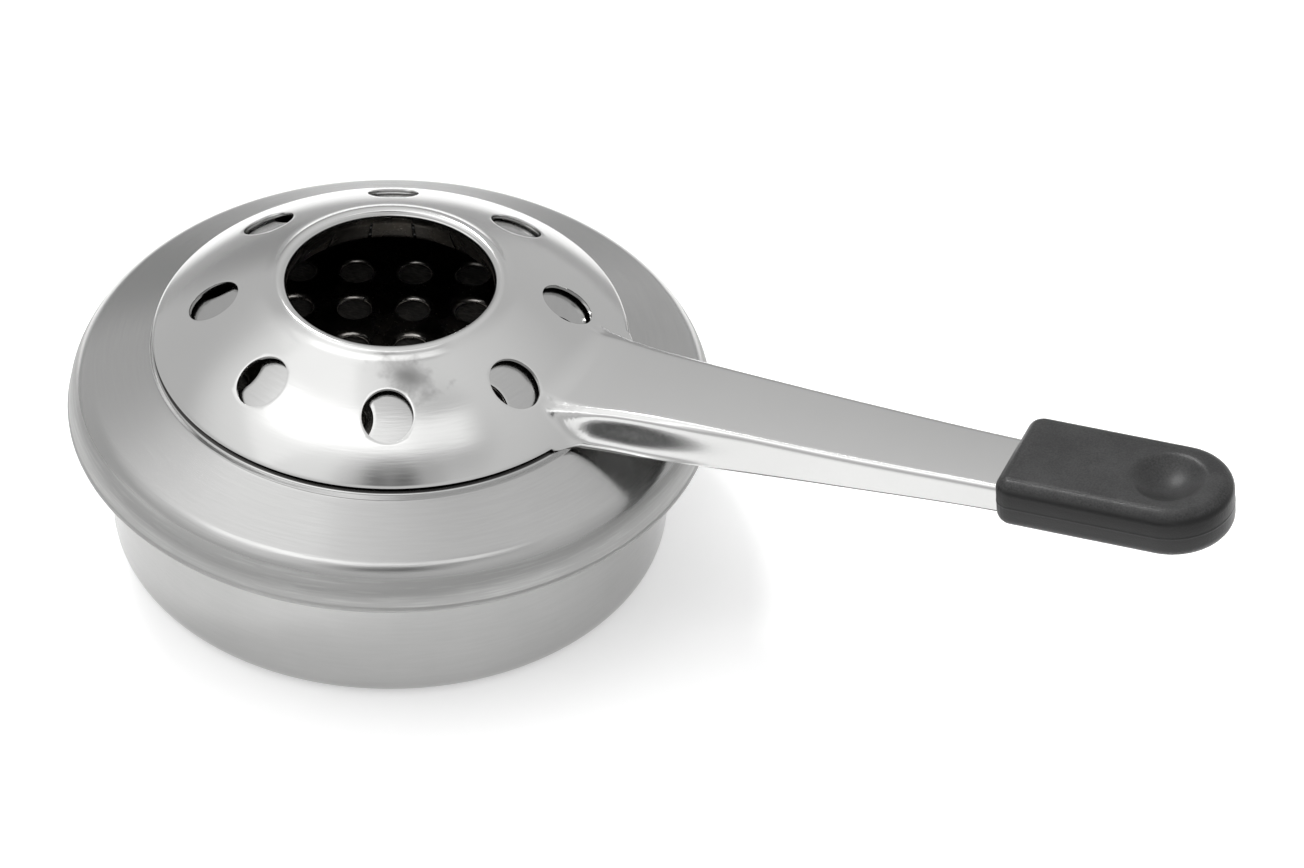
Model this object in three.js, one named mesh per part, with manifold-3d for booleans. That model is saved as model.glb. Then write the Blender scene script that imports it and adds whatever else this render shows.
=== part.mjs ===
// A spirit burner for fondue: a fuel bowl under a crimped cover, and an air regulator with a handle that turns on top.
// Millimetres, +Z up. The origin is on the burner's axis at the underside of the bowl, and +X runs along the handle.
import * as THREE from 'three';
import { mergeVertices } from 'three/addons/utils/BufferGeometryUtils.js';
import Module from 'manifold-3d';

const wasm = await Module();
wasm.setup();

// Sheet metal and fits
const sheet = 0.6;
const screenSheet = 0.5;
const play = 0.3;
const neckPlay = 0.5;
const coneGap = 0.6;
const overrun = 2;

// Cover: its hem, skirt, shoulder and sloping plate, and the step out to the vent cone's foot
const hemHeight = 24.3;
const hemFlare = 0.6;
const hemWidth = 5.2;
const hemRound = 0.7;
const skirtRadius = 51.7;
const skirtRise = 4.5;
const shoulderRise = 5.9;
const shoulderLean = 0.4;
const shoulderWidth = 3.5;
const plateRise = 7.65;
const coneStep = 0.5;

// Fuel bowl
const flangeWidth = 6.4;
const bowlCorner = 4;
const lipRise = 3.4;

// Air regulator: the domed disc, the rolled rim round the opening, and the neck with its tabs
const discRadius = 38.3;
const discRise = 13.95;
const domeTurnRadiusShare = 0.405;
const domeTurnHeightShare = 0.59;
const openingRadius = 16.7;
const rimRound = 1.25;
const rimRise = 12.1;
const rimEndAngle = THREE.MathUtils.degToRad(20);
const neckLength = 0.9;
const tabDrop = 4.5;
const tabFlare = 1.9;
const tabCount = 16;
const tabGap = 0.6;

// Vents, in the regulator and in the cover's cone under it
const ventCount = 8;
const ventCircle = 28.4;
const ventLength = 9.5;
const ventWidth = 8.3;
const ventDepth = 8;
const ventPitch = 2 * Math.PI / ventCount;
const ventLag = THREE.MathUtils.degToRad(13);

// Handle where it enters the grip: its distance from the axis, the widths of its top face and over its flanges' feet,
// and their heights over the disc's edge
const handleReach = 106.1;
const handleTopWidth = 12.8;
const handleFootWidth = 16;
const handleTopRise = 8.55;
const handleFootRise = 5;
const handleInGrip = 26;

// The handle at stations along it, as shares of those five sizes. A foot below the disc's edge has a negative share.
const handleStationShares = [
  { reach: 0.245, topWidth: 1.594, topRise: 0.45, footWidth: 2.438, footRise: 0 },
  { reach: 0.325, topWidth: 1.516, topRise: 0.474, footWidth: 1.925, footRise: -0.07 },
  { reach: 0.358, topWidth: 1.469, topRise: 0.485, footWidth: 1.638, footRise: -0.2 },
  { reach: 0.405, topWidth: 1.352, topRise: 0.526, footWidth: 1.45, footRise: -0.24 },
  { reach: 0.49, topWidth: 1.258, topRise: 0.602, footWidth: 1.35, footRise: -0.15 },
  { reach: 0.754, topWidth: 1.125, topRise: 0.778, footWidth: 1.156, footRise: 0.45 },
  { reach: 1, topWidth: 1, topRise: 1, footWidth: 1, footRise: 1 },
];
const flangeBendShare = 0.78;
const bendSideShare = 0.96;
const bendLevelShare = 0.93;
const topFlatShare = 0.87;

// Grip on the handle's end
const gripLength = 36.4;
const gripWidth = 19.4;
const gripThick = 8.7;
const gripEdge = 2.2;
const gripCorner = 2.6;
const gripAbove = 3.4;
const gripSlope = THREE.MathUtils.degToRad(5.1);
const dimplePlace = 26;
const dimpleRadius = 5.6;
const dimpleDepth = 1.6;

// Perforated plate and wadding in the bowl
const screenDrop = 0.9;
const screenRim = 2;
const screenBend = 0.9;
const holeRadius = 2.7;
const holePitch = 9.6;
const holeMargin = 1.6;
const holeShiftAcross = -6.9;
const holeShiftAway = 6;
const holeTurn = THREE.MathUtils.degToRad(21.2);

// Facets
const turns = 40;
const ventSides = 16;
const holeSides = 8;
const dimpleSides = 16;
const domeSteps = 5;
const bendSteps = 3;
const rimSteps = 5;
const handleSteps = 12;
const gripCurveSteps = 7;
const weldShare = 0.001;

// Places that the pieces share
const bowlRadius = skirtRadius - flangeWidth;
const bowlInside = bowlRadius - sheet;
const flangeHeight = hemHeight + sheet + play;
const discHeight = hemHeight + discRise;
const rimHeight = discHeight + rimRise;
const mouthRadius = openingRadius + sheet + neckPlay;
const screenHeight = hemHeight - screenDrop;

function at(radius, height) {
  return new THREE.Vector2(radius, height);
}

function arc(centre, radius, from, to, steps) {
  return Array.from({ length: steps + 1 }, (_, i) => {
    const angle = from + (to - from) * i / steps;
    return at(centre.x + radius * Math.cos(angle), centre.y + radius * Math.sin(angle));
  });
}

// The line that runs at a distance to the left of another line, with square corners.
function offsetLine(line, distance) {
  const normals = line.slice(1).map((point, i) => {
    const along = point.clone().sub(line[i]).normalize();
    return new THREE.Vector2(-along.y, along.x);
  });
  return line.map((point, i) => {
    const before = normals[Math.max(i - 1, 0)];
    const after = normals[Math.min(i, normals.length - 1)];
    const middle = before.clone().add(after).normalize();
    return point.clone().addScaledVector(middle, distance / middle.dot(before));
  });
}

// The closed section of a sheet that lies on the left of the line.
function sheetSection(line, thickness) {
  const section = [...line, ...offsetLine(line, thickness).reverse()];
  return line[0].x > 0 ? [...section, line[0].clone()] : section;
}

// The point at a radius on the straight line through two points.
function extended(from, through, radius) {
  const share = (radius - from.x) / (through.x - from.x);
  return from.clone().lerp(through, share);
}

function solidOf(geometry) {
  const bare = geometry.clone();
  bare.deleteAttribute('normal');
  bare.deleteAttribute('uv');
  const merged = mergeVertices(bare, play * weldShare);
  const corners = [];
  for (let i = 0; i < merged.index.count; i += 3) {
    const [a, b, c] = [0, 1, 2].map((corner) => merged.index.getX(i + corner));
    if (a !== b && b !== c && c !== a) corners.push(a, b, c);
  }
  const vertProperties = new Float32Array(merged.attributes.position.array);
  return new wasm.Manifold(new wasm.Mesh({ numProp: 3, vertProperties, triVerts: new Uint32Array(corners) }));
}

function geometryOf(solid) {
  const mesh = solid.getMesh();
  const geometry = new THREE.BufferGeometry();
  geometry.setAttribute('position', new THREE.BufferAttribute(new Float32Array(mesh.vertProperties), 3));
  geometry.setIndex(new THREE.BufferAttribute(new Uint32Array(mesh.triVerts), 1));
  geometry.computeVertexNormals();
  return geometry;
}

// Turns a section about the vertical axis.
function turned(section) {
  return solidOf(new THREE.LatheGeometry(section, turns).rotateX(Math.PI / 2));
}

function rimCentre() {
  return at(openingRadius + rimRound, rimHeight - rimRound);
}

// The dome's upper face, from the disc's edge up to the crease at the rolled rim.
function domeLine() {
  const edge = at(discRadius, discHeight);
  const crease = arc(rimCentre(), rimRound, rimEndAngle, rimEndAngle, 1)[0];
  const turnPoint = at(
    THREE.MathUtils.lerp(edge.x, crease.x, domeTurnRadiusShare),
    THREE.MathUtils.lerp(edge.y, crease.y, domeTurnHeightShare),
  );
  return new THREE.QuadraticBezierCurve(edge, turnPoint, crease).getPoints(domeSteps);
}

// The vent cone's upper face, from its foot in the plate up to its mouth. It follows the dome under a small gap.
function coneLine() {
  const below = offsetLine(domeLine(), sheet + coneGap);
  const foot = extended(below[1], below[0], discRadius + coneStep);
  const mouth = extended(below[below.length - 2], below[below.length - 1], mouthRadius);
  return [foot, ...below.slice(1, -1), mouth];
}

// One oval cutter per vent, square to the dome at the vent circle and turned round the axis by the lag.
function ventCutters(lag) {
  const line = domeLine();
  const next = line.findIndex((point) => point.x < ventCircle);
  const place = extended(line[next - 1], line[next], ventCircle);
  const inward = line[next].clone().sub(line[next - 1]).normalize();
  const normal = new THREE.Vector3(inward.y, 0, -inward.x);
  const across = new THREE.Vector3(0, 1, 0);
  const frame = new THREE.Matrix4().makeBasis(across, normal, across.clone().cross(normal));
  frame.setPosition(place.x, 0, place.y);
  return Array.from({ length: ventCount }, (_, i) => {
    const cutter = new THREE.CylinderGeometry(ventWidth / 2, ventWidth / 2, ventDepth, ventSides);
    cutter.scale(1, 1, ventLength / ventWidth).applyMatrix4(frame);
    return solidOf(cutter.rotateZ((i + 1 / 2) * ventPitch - lag));
  });
}

function cutAll(solid, cutters) {
  return cutters.reduce((rest, cutter) => rest.subtract(cutter), solid);
}

// Fuel bowl: flat floor, rounded corner, wall, flange on the cover's hem, and a lip that stands up inside the skirt.
function bowl() {
  const lipRadius = skirtRadius - sheet - play;
  const line = [
    at(0, 0),
    ...arc(at(bowlRadius - bowlCorner, bowlCorner), bowlCorner, -Math.PI / 2, 0, bendSteps + 1),
    at(bowlRadius, flangeHeight),
    at(lipRadius, flangeHeight),
    at(lipRadius, flangeHeight + lipRise),
  ];
  return turned(sheetSection(line, sheet));
}

// Cover: hem, skirt, shoulder, sloping plate, and the cone with its vents.
function cover() {
  const hemRadius = skirtRadius + hemFlare;
  const shoulder = new THREE.QuadraticBezierCurve(
    at(skirtRadius, hemHeight + skirtRise),
    at(skirtRadius - shoulderLean, hemHeight + shoulderRise),
    at(skirtRadius - shoulderWidth, hemHeight + plateRise),
  );
  const line = [
    at(hemRadius - hemWidth, hemHeight),
    at(hemRadius - hemRound, hemHeight),
    at(hemRadius, hemHeight + hemRound),
    ...shoulder.getPoints(bendSteps + 1),
    ...coneLine(),
  ];
  return cutAll(turned(sheetSection(line, sheet)), ventCutters(ventLag));
}

// The handle at a station: distance from the axis, half widths of its top face and over its feet, and their heights.
function handleStation(shares) {
  return {
    reach: handleReach * shares.reach,
    topHalf: handleTopWidth / 2 * shares.topWidth,
    top: handleTopRise * shares.topRise,
    footHalf: handleFootWidth / 2 * shares.footWidth,
    foot: handleFootRise * shares.footRise,
  };
}

// The handle's outside, or its hollow, or its socket: the section grows by one size and reaches below the feet by another.
function handleBlock(growth, below) {
  const stations = handleStationShares.map(handleStation);
  const tip = stations[stations.length - 1];
  const rise = handleInGrip * Math.sin(gripSlope);
  const end = {
    ...tip,
    reach: tip.reach + (handleInGrip + Math.max(growth, 0)) * Math.cos(gripSlope),
    top: tip.top + rise,
    foot: tip.foot + rise,
  };
  stations.push(end);
  const spline = (key) => new THREE.SplineCurve(stations.map((station) => at(station.reach, station[key])));
  const curves = { topHalf: spline('topHalf'), top: spline('top'), footHalf: spline('footHalf'), foot: spline('foot') };
  const half = [
    [1, 0], [1, flangeBendShare], [bendSideShare, bendLevelShare], [topFlatShare, 1],
  ];
  const mirrored = half.map(([side, level]) => [-side, level]).reverse();
  const section = new THREE.Shape([...half, ...mirrored].map(([side, level]) => at(side, level)));
  const block = new THREE.ExtrudeGeometry(section, { depth: 1, steps: handleSteps, bevelEnabled: false });
  const position = block.attributes.position;
  for (let i = 0; i < position.count; i += 1) {
    const along = position.getZ(i);
    const value = (key) => curves[key].getPoint(along).y;
    const height = value('top') - value('foot');
    const level = THREE.MathUtils.lerp(-below / height, 1, position.getY(i));
    const width = THREE.MathUtils.lerp(value('footHalf'), value('topHalf'), level) + growth;
    const up = THREE.MathUtils.lerp(value('foot'), value('top'), level) + growth * position.getY(i);
    position.setXYZ(i, curves.top.getPoint(along).x, position.getX(i) * width, discHeight + up);
  }
  return solidOf(block);
}

// The space under the dome, where the handle's channel opens into it.
function domeHollow() {
  const under = offsetLine(domeLine(), sheet);
  const floor = discHeight - overrun - sheet;
  const lastHeight = under[under.length - 1].y;
  return turned([at(0, floor), at(under[0].x, floor), ...under, at(0, lastHeight)]);
}

// The slits that split the neck's lower end into tabs.
function tabSlits() {
  const foot = rimHeight - rimRound - neckLength - tabDrop;
  const width = openingRadius + tabFlare + sheet + overrun;
  return Array.from({ length: tabCount }, (_, i) => {
    const slit = new THREE.BoxGeometry(width, tabGap, tabDrop + overrun);
    slit.translate(width / 2, 0, foot - overrun + (tabDrop + overrun) / 2);
    return solidOf(slit.rotateZ((i + 1 / 2) * 2 * Math.PI / tabCount));
  });
}

// Air regulator: disc, rolled rim, neck and tabs turned from one sheet, and the handle's channel joined to the disc.
function regulator() {
  const centre = rimCentre();
  const neckFoot = centre.y - neckLength;
  const line = [
    ...domeLine().slice(0, -1),
    ...arc(centre, rimRound, rimEndAngle, Math.PI, rimSteps),
    at(openingRadius, neckFoot),
    at(openingRadius + tabFlare, neckFoot - tabDrop),
  ];
  const hollow = handleBlock(-sheet, overrun);
  const disc = turned(sheetSection(line, sheet)).subtract(hollow);
  const channel = handleBlock(0, 0).subtract(hollow).subtract(domeHollow());
  return cutAll(disc.add(channel), [...ventCutters(0), ...tabSlits()]);
}

// Where the grip lies: its own X axis runs along the handle's end, and its top face is at its own height zero.
function gripFrame() {
  const frame = new THREE.Object3D();
  frame.position.set(handleReach, 0, discHeight + handleTopRise + gripAbove);
  frame.rotation.y = -gripSlope;
  frame.updateMatrix();
  return frame;
}

// Grip: a flat block with a round end and rounded edges, a socket for the handle, and a dimple for the thumb.
function grip() {
  const half = gripWidth / 2 - gripEdge;
  const corner = gripCorner - gripEdge;
  const outline = new THREE.Shape();
  outline.moveTo(gripEdge + corner, -half);
  outline.lineTo(gripLength - gripEdge - half, -half);
  outline.absarc(gripLength - gripEdge - half, 0, half, -Math.PI / 2, Math.PI / 2, false);
  outline.lineTo(gripEdge + corner, half);
  outline.absarc(gripEdge + corner, half - corner, corner, Math.PI / 2, Math.PI, false);
  outline.absarc(gripEdge + corner, corner - half, corner, Math.PI, 3 * Math.PI / 2, false);
  const block = new THREE.ExtrudeGeometry(outline, {
    depth: gripThick - 2 * gripEdge,
    bevelThickness: gripEdge,
    bevelSize: gripEdge,
    bevelSegments: bendSteps,
    curveSegments: gripCurveSteps,
  });
  block.translate(0, 0, gripEdge - gripThick);
  const ballRadius = (dimpleRadius ** 2 + dimpleDepth ** 2) / (2 * dimpleDepth);
  const ball = new THREE.SphereGeometry(ballRadius, dimpleSides, dimpleSides / 2);
  ball.rotateX(Math.PI / 2).translate(dimplePlace, 0, ballRadius - dimpleDepth);
  const toGrip = gripFrame().matrix.clone().invert();
  const socket = geometryOf(handleBlock(play, play)).applyMatrix4(toGrip);
  return cutAll(solidOf(block), [solidOf(ball), solidOf(socket)]);
}

// Perforated plate: a shallow dish with a turned-up rim in the bowl's mouth, and round holes on a square grid.
function screen() {
  const radius = bowlInside - play;
  const underside = screenHeight - screenSheet;
  const line = [
    at(0, underside),
    ...arc(at(radius - screenBend, underside + screenBend), screenBend, -Math.PI / 2, 0, bendSteps),
    at(radius, screenHeight + screenRim),
  ];
  const reach = Math.ceil(radius / holePitch) + 1;
  const rows = Array.from({ length: 2 * reach + 1 }, (_, i) => i - reach);
  const holes = rows.flatMap((row) => rows.map((column) => {
    return at(holeShiftAcross + column * holePitch, holeShiftAway + row * holePitch);
  }));
  const limit = radius - screenBend - holeMargin - holeRadius;
  const cutters = holes.filter((hole) => hole.length() < limit).map((hole) => {
    const cutter = new THREE.CylinderGeometry(holeRadius, holeRadius, screenSheet + overrun, holeSides);
    cutter.rotateX(Math.PI / 2).translate(hole.x, hole.y, screenHeight - screenSheet / 2);
    return solidOf(cutter.rotateZ(holeTurn));
  });
  return cutAll(turned(sheetSection(line, screenSheet)), cutters);
}

// Wadding that fills the bowl from its floor to the perforated plate.
function wadding() {
  const radius = bowlInside - play;
  const floor = sheet + play;
  const top = screenHeight - screenSheet - play;
  return turned([
    at(0, floor),
    ...arc(at(radius - bowlCorner, floor + bowlCorner), bowlCorner, -Math.PI / 2, 0, bendSteps),
    at(radius, top),
    at(0, top),
  ]);
}

function steel(color, roughness) {
  return new THREE.MeshStandardMaterial({ color, roughness, metalness: 1 });
}

function dull(color, roughness) {
  return new THREE.MeshStandardMaterial({ color, roughness, metalness: 0 });
}

function named(name, solid, material) {
  const mesh = new THREE.Mesh(geometryOf(solid), material);
  mesh.name = name;
  return mesh;
}

const burner = new THREE.Group();
burner.add(named('fuel_bowl', bowl(), steel('#a9a9a7', 0.4)));
burner.add(named('cover', cover(), steel('#b2b2b0', 0.32)));
burner.add(named('perforated_plate', screen(), steel('#4b4844', 0.45)));
burner.add(named('absorbent_pad', wadding(), dull('#5d5a55', 0.95)));

const turning = new THREE.Group();
turning.add(named('air_regulator', regulator(), steel('#bcbcba', 0.24)));
const sleeve = named('handle_grip', grip(), dull('#2a2a2b', 0.6));
const sleevePlace = gripFrame();
sleeve.position.copy(sleevePlace.position);
sleeve.rotation.copy(sleevePlace.rotation);
turning.add(sleeve);
burner.add(turning);

export default burner;
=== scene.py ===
"""The looks of a spirit burner for fondue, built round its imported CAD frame.

Everything is in metres in the frame of the CAD: the origin lies on the burner's axis at the underside of the
bowl, +Z is up and +X runs along the handle.
"""

import logging
import math
from dataclasses import dataclass, field
from enum import Enum
from typing import Callable, Iterable

import bmesh
import bpy
from mathutils import Matrix, Vector, noise

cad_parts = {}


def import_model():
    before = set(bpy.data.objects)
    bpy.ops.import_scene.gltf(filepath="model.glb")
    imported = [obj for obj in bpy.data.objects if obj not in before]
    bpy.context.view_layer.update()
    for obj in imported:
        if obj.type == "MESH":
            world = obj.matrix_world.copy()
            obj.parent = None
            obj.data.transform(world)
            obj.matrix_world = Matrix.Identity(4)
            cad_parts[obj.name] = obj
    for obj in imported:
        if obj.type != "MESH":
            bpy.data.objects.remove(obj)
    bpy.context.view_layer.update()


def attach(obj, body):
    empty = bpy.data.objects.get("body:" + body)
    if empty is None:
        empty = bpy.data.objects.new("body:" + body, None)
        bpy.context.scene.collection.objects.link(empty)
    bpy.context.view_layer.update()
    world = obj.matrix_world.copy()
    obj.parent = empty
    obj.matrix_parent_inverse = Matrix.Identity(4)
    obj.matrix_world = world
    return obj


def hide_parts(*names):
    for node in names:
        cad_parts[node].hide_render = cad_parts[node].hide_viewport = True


log = logging.getLogger("burner")

MM = 0.001
FULL_TURN = 2 * math.pi
WELD = 0.004 * MM
TOUCH = 1e-7
SAME = 1e-6
TINY = 1e-9
OUT_OF_REACH = 1.0

Object = bpy.types.Object
Material = bpy.types.Material
Socket = bpy.types.NodeSocket
Mesh = bmesh.types.BMesh
Face = bmesh.types.BMFace
Edge = bmesh.types.BMEdge
Vert = bmesh.types.BMVert
Range = tuple[float, float]
Colour = tuple[float, float, float]
Place = tuple[float, float, float]
Value = Socket | float | tuple[float, ...] | Vector


class Fit(Enum):
    """Which end of a smooth choice between two heights is wanted."""

    HIGHER = 1
    LOWER = -1


def smooth_step(value: float) -> float:
    """Eases a share from 0 to 1 with level ends."""
    share = min(max(value, 0.0), 1.0)
    return share * share * (3 - 2 * share)


def mix(low: float, high: float, share: float) -> float:
    """Gives the number that lies a share of the way from low to high."""
    return low + (high - low) * share


def polar(angle: float) -> Vector:
    """Gives the flat direction at an angle."""
    return Vector((math.cos(angle), math.sin(angle)))


def cos_of(degrees: float) -> float:
    """Gives the cosine of an angle in degrees."""
    return math.cos(math.radians(degrees))


def point_field(radius: float, height: float) -> Vector:
    """Gives a dataclass field that starts as a point, given in millimetres."""
    return field(default_factory=lambda: Vector((radius * MM, height * MM)))


def about_axis(angle: float) -> Matrix:
    """Gives the turn by an angle about the vertical axis."""
    return Matrix.Rotation(angle, 3, "Z")


def soft_pick(first: float, second: float, width: float, fit: Fit) -> float:
    """Picks the higher or lower of two heights and rounds the corner where they cross.

    Args:
        first: one height.
        second: the other height.
        width: how far apart the two may be and still be blended.
        fit: whether the higher or the lower one is wanted.

    Returns:
        The blended height.
    """
    near = max(width - abs(first - second), 0.0) / width
    picked = max(first, second) if fit is Fit.HIGHER else min(first, second)
    return picked + fit.value * near * near * width / 4


def placed(name: str, bm: Mesh) -> Object:
    """Turns a bmesh into an object at the origin.

    Args:
        name: the object's name.
        bm: the mesh, which is freed here.

    Returns:
        The new object.
    """
    mesh = bpy.data.meshes.new(name)
    bm.to_mesh(mesh)
    bm.free()
    made = bpy.data.objects.new(name, mesh)
    bpy.context.scene.collection.objects.link(made)
    return made


def made_piece(name: str, bm: Mesh, body: str, slot: str, *finishes: Material) -> Object:
    """Turns a bmesh into a smooth-shaded piece that rides on a body.

    Args:
        name: the piece's name.
        bm: the mesh, which is freed here.
        body: the CAD body that the piece moves with.
        slot: the material slot of the record; not used.
        finishes: the piece's materials.

    Returns:
        The new piece.
    """
    for face in bm.faces:
        face.smooth = True
    piece = placed(name, bm)
    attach(piece, body)
    for finish in finishes:
        piece.data.materials.append(finish)
    return piece


def face_up(bm: Mesh, wants: Callable[[Face], float]) -> None:
    """Makes an open sheet's faces agree, and turns them all round where most of them face the wrong way.

    Args:
        bm: the sheet.
        wants: gives a positive number for a face that points the right way.
    """
    bmesh.ops.recalc_face_normals(bm, faces=bm.faces[:])
    bm.normal_update()
    if sum(wants(face) * face.calc_area() for face in bm.faces) < 0:
        bmesh.ops.reverse_faces(bm, faces=bm.faces[:])


def cut_across(bm: Mesh, point: Vector, normal: Vector) -> None:
    """Cuts every face that the plane through a point crosses."""
    geom = bm.verts[:] + bm.edges[:] + bm.faces[:]
    bmesh.ops.bisect_plane(bm, geom=geom, dist=TOUCH, plane_co=point, plane_no=normal)


def drawn_out(bm: Mesh, edges: list[Edge]) -> tuple[list[Vert], list[Edge]]:
    """Adds a row of faces along some edges.

    Args:
        bm: the sheet.
        edges: a chain of its open edges.

    Returns:
        The new row's points, not moved yet, and the edges between them.
    """
    made = bmesh.ops.extrude_edge_only(bm, edges=edges)["geom"]
    verts = [g for g in made if isinstance(g, Vert)]
    new = set(verts)
    return verts, [g for g in made if isinstance(g, Edge) and new.issuperset(g.verts)]


def add_thickness(piece: Object, thickness: float, edge: float) -> None:
    """Gives a sheet its thickness on its inner side and rounds its cut edges.

    The inner side has the sheet's next material, and the cut edges have the outer side's.

    Args:
        piece: the sheet.
        thickness: the metal's thickness.
        edge: how wide the rounding of a cut edge is.
    """
    wall = piece.modifiers.new("sheet thickness", "SOLIDIFY")
    wall.thickness = thickness
    wall.offset = -1
    wall.use_even_offset = True
    wall.use_quality_normals = True
    wall.material_offset = 1
    wall.material_offset_rim = -1
    rounding = piece.modifiers.new("cut edges", "BEVEL")
    rounding.width = edge
    rounding.segments = 2
    rounding.limit_method = "ANGLE"
    rounding.angle_limit = math.radians(50)
    rounding.use_clamp_overlap = True


@dataclass
class Outline:
    """A line of (radius, height) points that a sheet of metal is turned from, with its corners kept."""

    points: list[Vector] = field(default_factory=list)

    def to(self, radius: float, height: float, steps: int = 1) -> "Outline":
        """Goes straight to a point, or starts there.

        Args:
            radius: the point's distance from the axis.
            height: the point's height.
            steps: how many points are set on the way.

        Returns:
            The same outline.
        """
        target = Vector((radius, height))
        if not self.points:
            self.points.append(target)
            return self
        start = self.points[-1].copy()
        self.points += [start.lerp(target, (i + 1) / steps) for i in range(steps)]
        return self

    def curve(self, through: Vector, target: Vector, steps: int) -> "Outline":
        """Bends to a point.

        Args:
            through: the point that the line is drawn towards on its way.
            target: where the bend ends.
            steps: how many points are set on the way.

        Returns:
            The same outline.
        """
        start = self.points[-1].copy()
        for i in range(steps):
            share = (i + 1) / steps
            self.points.append(start.lerp(through, share).lerp(through.lerp(target, share), share))
        return self

    def arc(self, centre: Vector, radius: float, start: float, end: float, steps: int) -> "Outline":
        """Adds points on a circle.

        Args:
            centre: the circle's middle.
            radius: the circle's radius.
            start: the first point's angle in degrees.
            end: the last point's angle in degrees.
            steps: how many steps lie between the two.

        Returns:
            The same outline.
        """
        for i in range(steps + 1):
            angle = math.radians(mix(start, end, i / steps))
            self.points.append(centre + radius * polar(angle))
        return self

    def eased(self, radius: float) -> "Outline":
        """Rounds each sharp corner of the line with a small curve.

        Args:
            radius: how far from the corner the curve begins.

        Returns:
            A new outline with rounded corners.
        """
        sharp, most = math.radians(12), 0.45
        eased = Outline([self.points[0]])
        for before, corner, after in zip(self.points, self.points[1:], self.points[2:]):
            back, ahead = before - corner, after - corner
            bend = math.pi - back.angle(ahead) if back.length > TINY and ahead.length > TINY else 0
            reach = min(radius, back.length * most, ahead.length * most)
            if bend < sharp:
                eased.points.append(corner)
                continue
            eased.points.append(corner + back.normalized() * reach)
            eased.curve(corner, corner + ahead.normalized() * reach, 3)
        eased.points.append(self.points[-1])
        return eased

    def height_at(self, radius: float) -> float:
        """Gives the line's height at a distance from the axis, beyond its start on the same slope.

        Args:
            radius: the distance from the axis.

        Returns:
            The height.
        """
        pairs = list(zip(self.points, self.points[1:]))
        for first, second in pairs:
            low, high = sorted((first.x, second.x))
            if low <= radius <= high and high - low > TINY:
                break
        else:
            first, second = pairs[0]
        return mix(first.y, second.y, (radius - first.x) / (second.x - first.x))


@dataclass(frozen=True)
class Vents:
    """A ring of oval air vents, and the patch of mesh round each that is drawn into its shape."""

    count: int = 8
    circle: float = 28.4 * MM
    width: float = 8.3 * MM
    length: float = 9.5 * MM
    slope: float = math.radians(33)
    first: float = math.radians(22.5)
    patch_turn: float = math.radians(18)
    patch_in: float = 21.2 * MM
    patch_out: float = 35.6 * MM
    hole_share: float = 0.5

    def patch(self) -> tuple[float, float]:
        """Gives the distance of a patch's middle from the axis, and half its length outwards."""
        return (self.patch_in + self.patch_out) / 2, (self.patch_out - self.patch_in) / 2

    def cut(self, bm: Mesh, height: Callable[[float, float], float], over: float) -> None:
        """Opens every vent in a turned sheet.

        Args:
            bm: the sheet, spun from an outline.
            height: gives the sheet's height at a place seen from above.
            over: only what lies above this height is part of the vented cone.
        """
        gone: list[Face] = []
        for number in range(self.count):
            angle = self.first + number * FULL_TURN / self.count
            shares = {v: self.share_of(v.co, angle) for v in bm.verts if v.co.z > over}
            inside = {v: s for v, s in shares.items() if max(abs(s.x), abs(s.y)) < 1 - SAME}
            gone += [f for f in bm.faces if all(self.in_hole(inside.get(v)) for v in f.verts)]
            for vert, share in inside.items():
                place = self.drawn_in(share, angle)
                vert.co = Vector((place.x, place.y, height(place.x, place.y)))
        bmesh.ops.delete(bm, geom=list(set(gone)), context="FACES")

    def in_hole(self, share: Vector | None) -> bool:
        """Tells whether a point of the patch lies in or on the edge of the hole."""
        return share is not None and max(abs(share.x), abs(share.y)) < self.hole_share + 1e-3

    def share_of(self, point: Vector, angle: float) -> Vector:
        """Gives a point's place in a vent's patch.

        Args:
            point: the point.
            angle: the angle of the vent round the axis.

        Returns:
            The place round the axis and outwards, each from -1 to 1 within the patch.
        """
        turn = (math.atan2(point.y, point.x) - angle + math.pi) % FULL_TURN - math.pi
        middle, half = self.patch()
        return Vector((turn / self.patch_turn, (math.hypot(point.x, point.y) - middle) / half))

    def drawn_in(self, share: Vector, angle: float) -> Vector:
        """Gives where a point of the patch goes, so that the hole's edge becomes the oval.

        Args:
            share: the point's place in the patch.
            angle: the angle of the vent round the axis.

        Returns:
            The point's place seen from above.
        """
        size = max(abs(share.x), abs(share.y), SAME)
        way = share / size
        turn = math.atan2(way.x, way.y)
        middle, half = self.patch()
        edge_turn, edge_radius = way.x * self.patch_turn, middle + way.y * half
        edge = Vector((edge_radius * math.cos(edge_turn), edge_radius * math.sin(edge_turn)))
        oval = Vector((
            self.circle + self.length / 2 * math.cos(self.slope) * math.cos(turn),
            self.width / 2 * math.sin(turn),
        ))
        local = oval.lerp(edge, max(size - self.hole_share, 0) / (1 - self.hole_share))
        local.rotate(Matrix.Rotation(angle, 2))
        return local


def spun(outline: Outline, columns: int) -> Mesh:
    """Turns an outline round the vertical axis.

    Args:
        outline: the line, in metres.
        columns: how many steps make the full turn.

    Returns:
        The open or closed sheet.
    """
    bm = bmesh.new()
    verts = [bm.verts.new((p.x, 0, p.y)) for p in outline.points]
    edges = [bm.edges.new(pair) for pair in zip(verts, verts[1:])]
    bmesh.ops.spin(
        bm, geom=verts + edges, cent=(0, 0, 0), axis=(0, 0, 1), angle=FULL_TURN, steps=columns, use_merge=True
    )
    bmesh.ops.remove_doubles(bm, verts=bm.verts[:], dist=WELD)
    return bm


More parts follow.
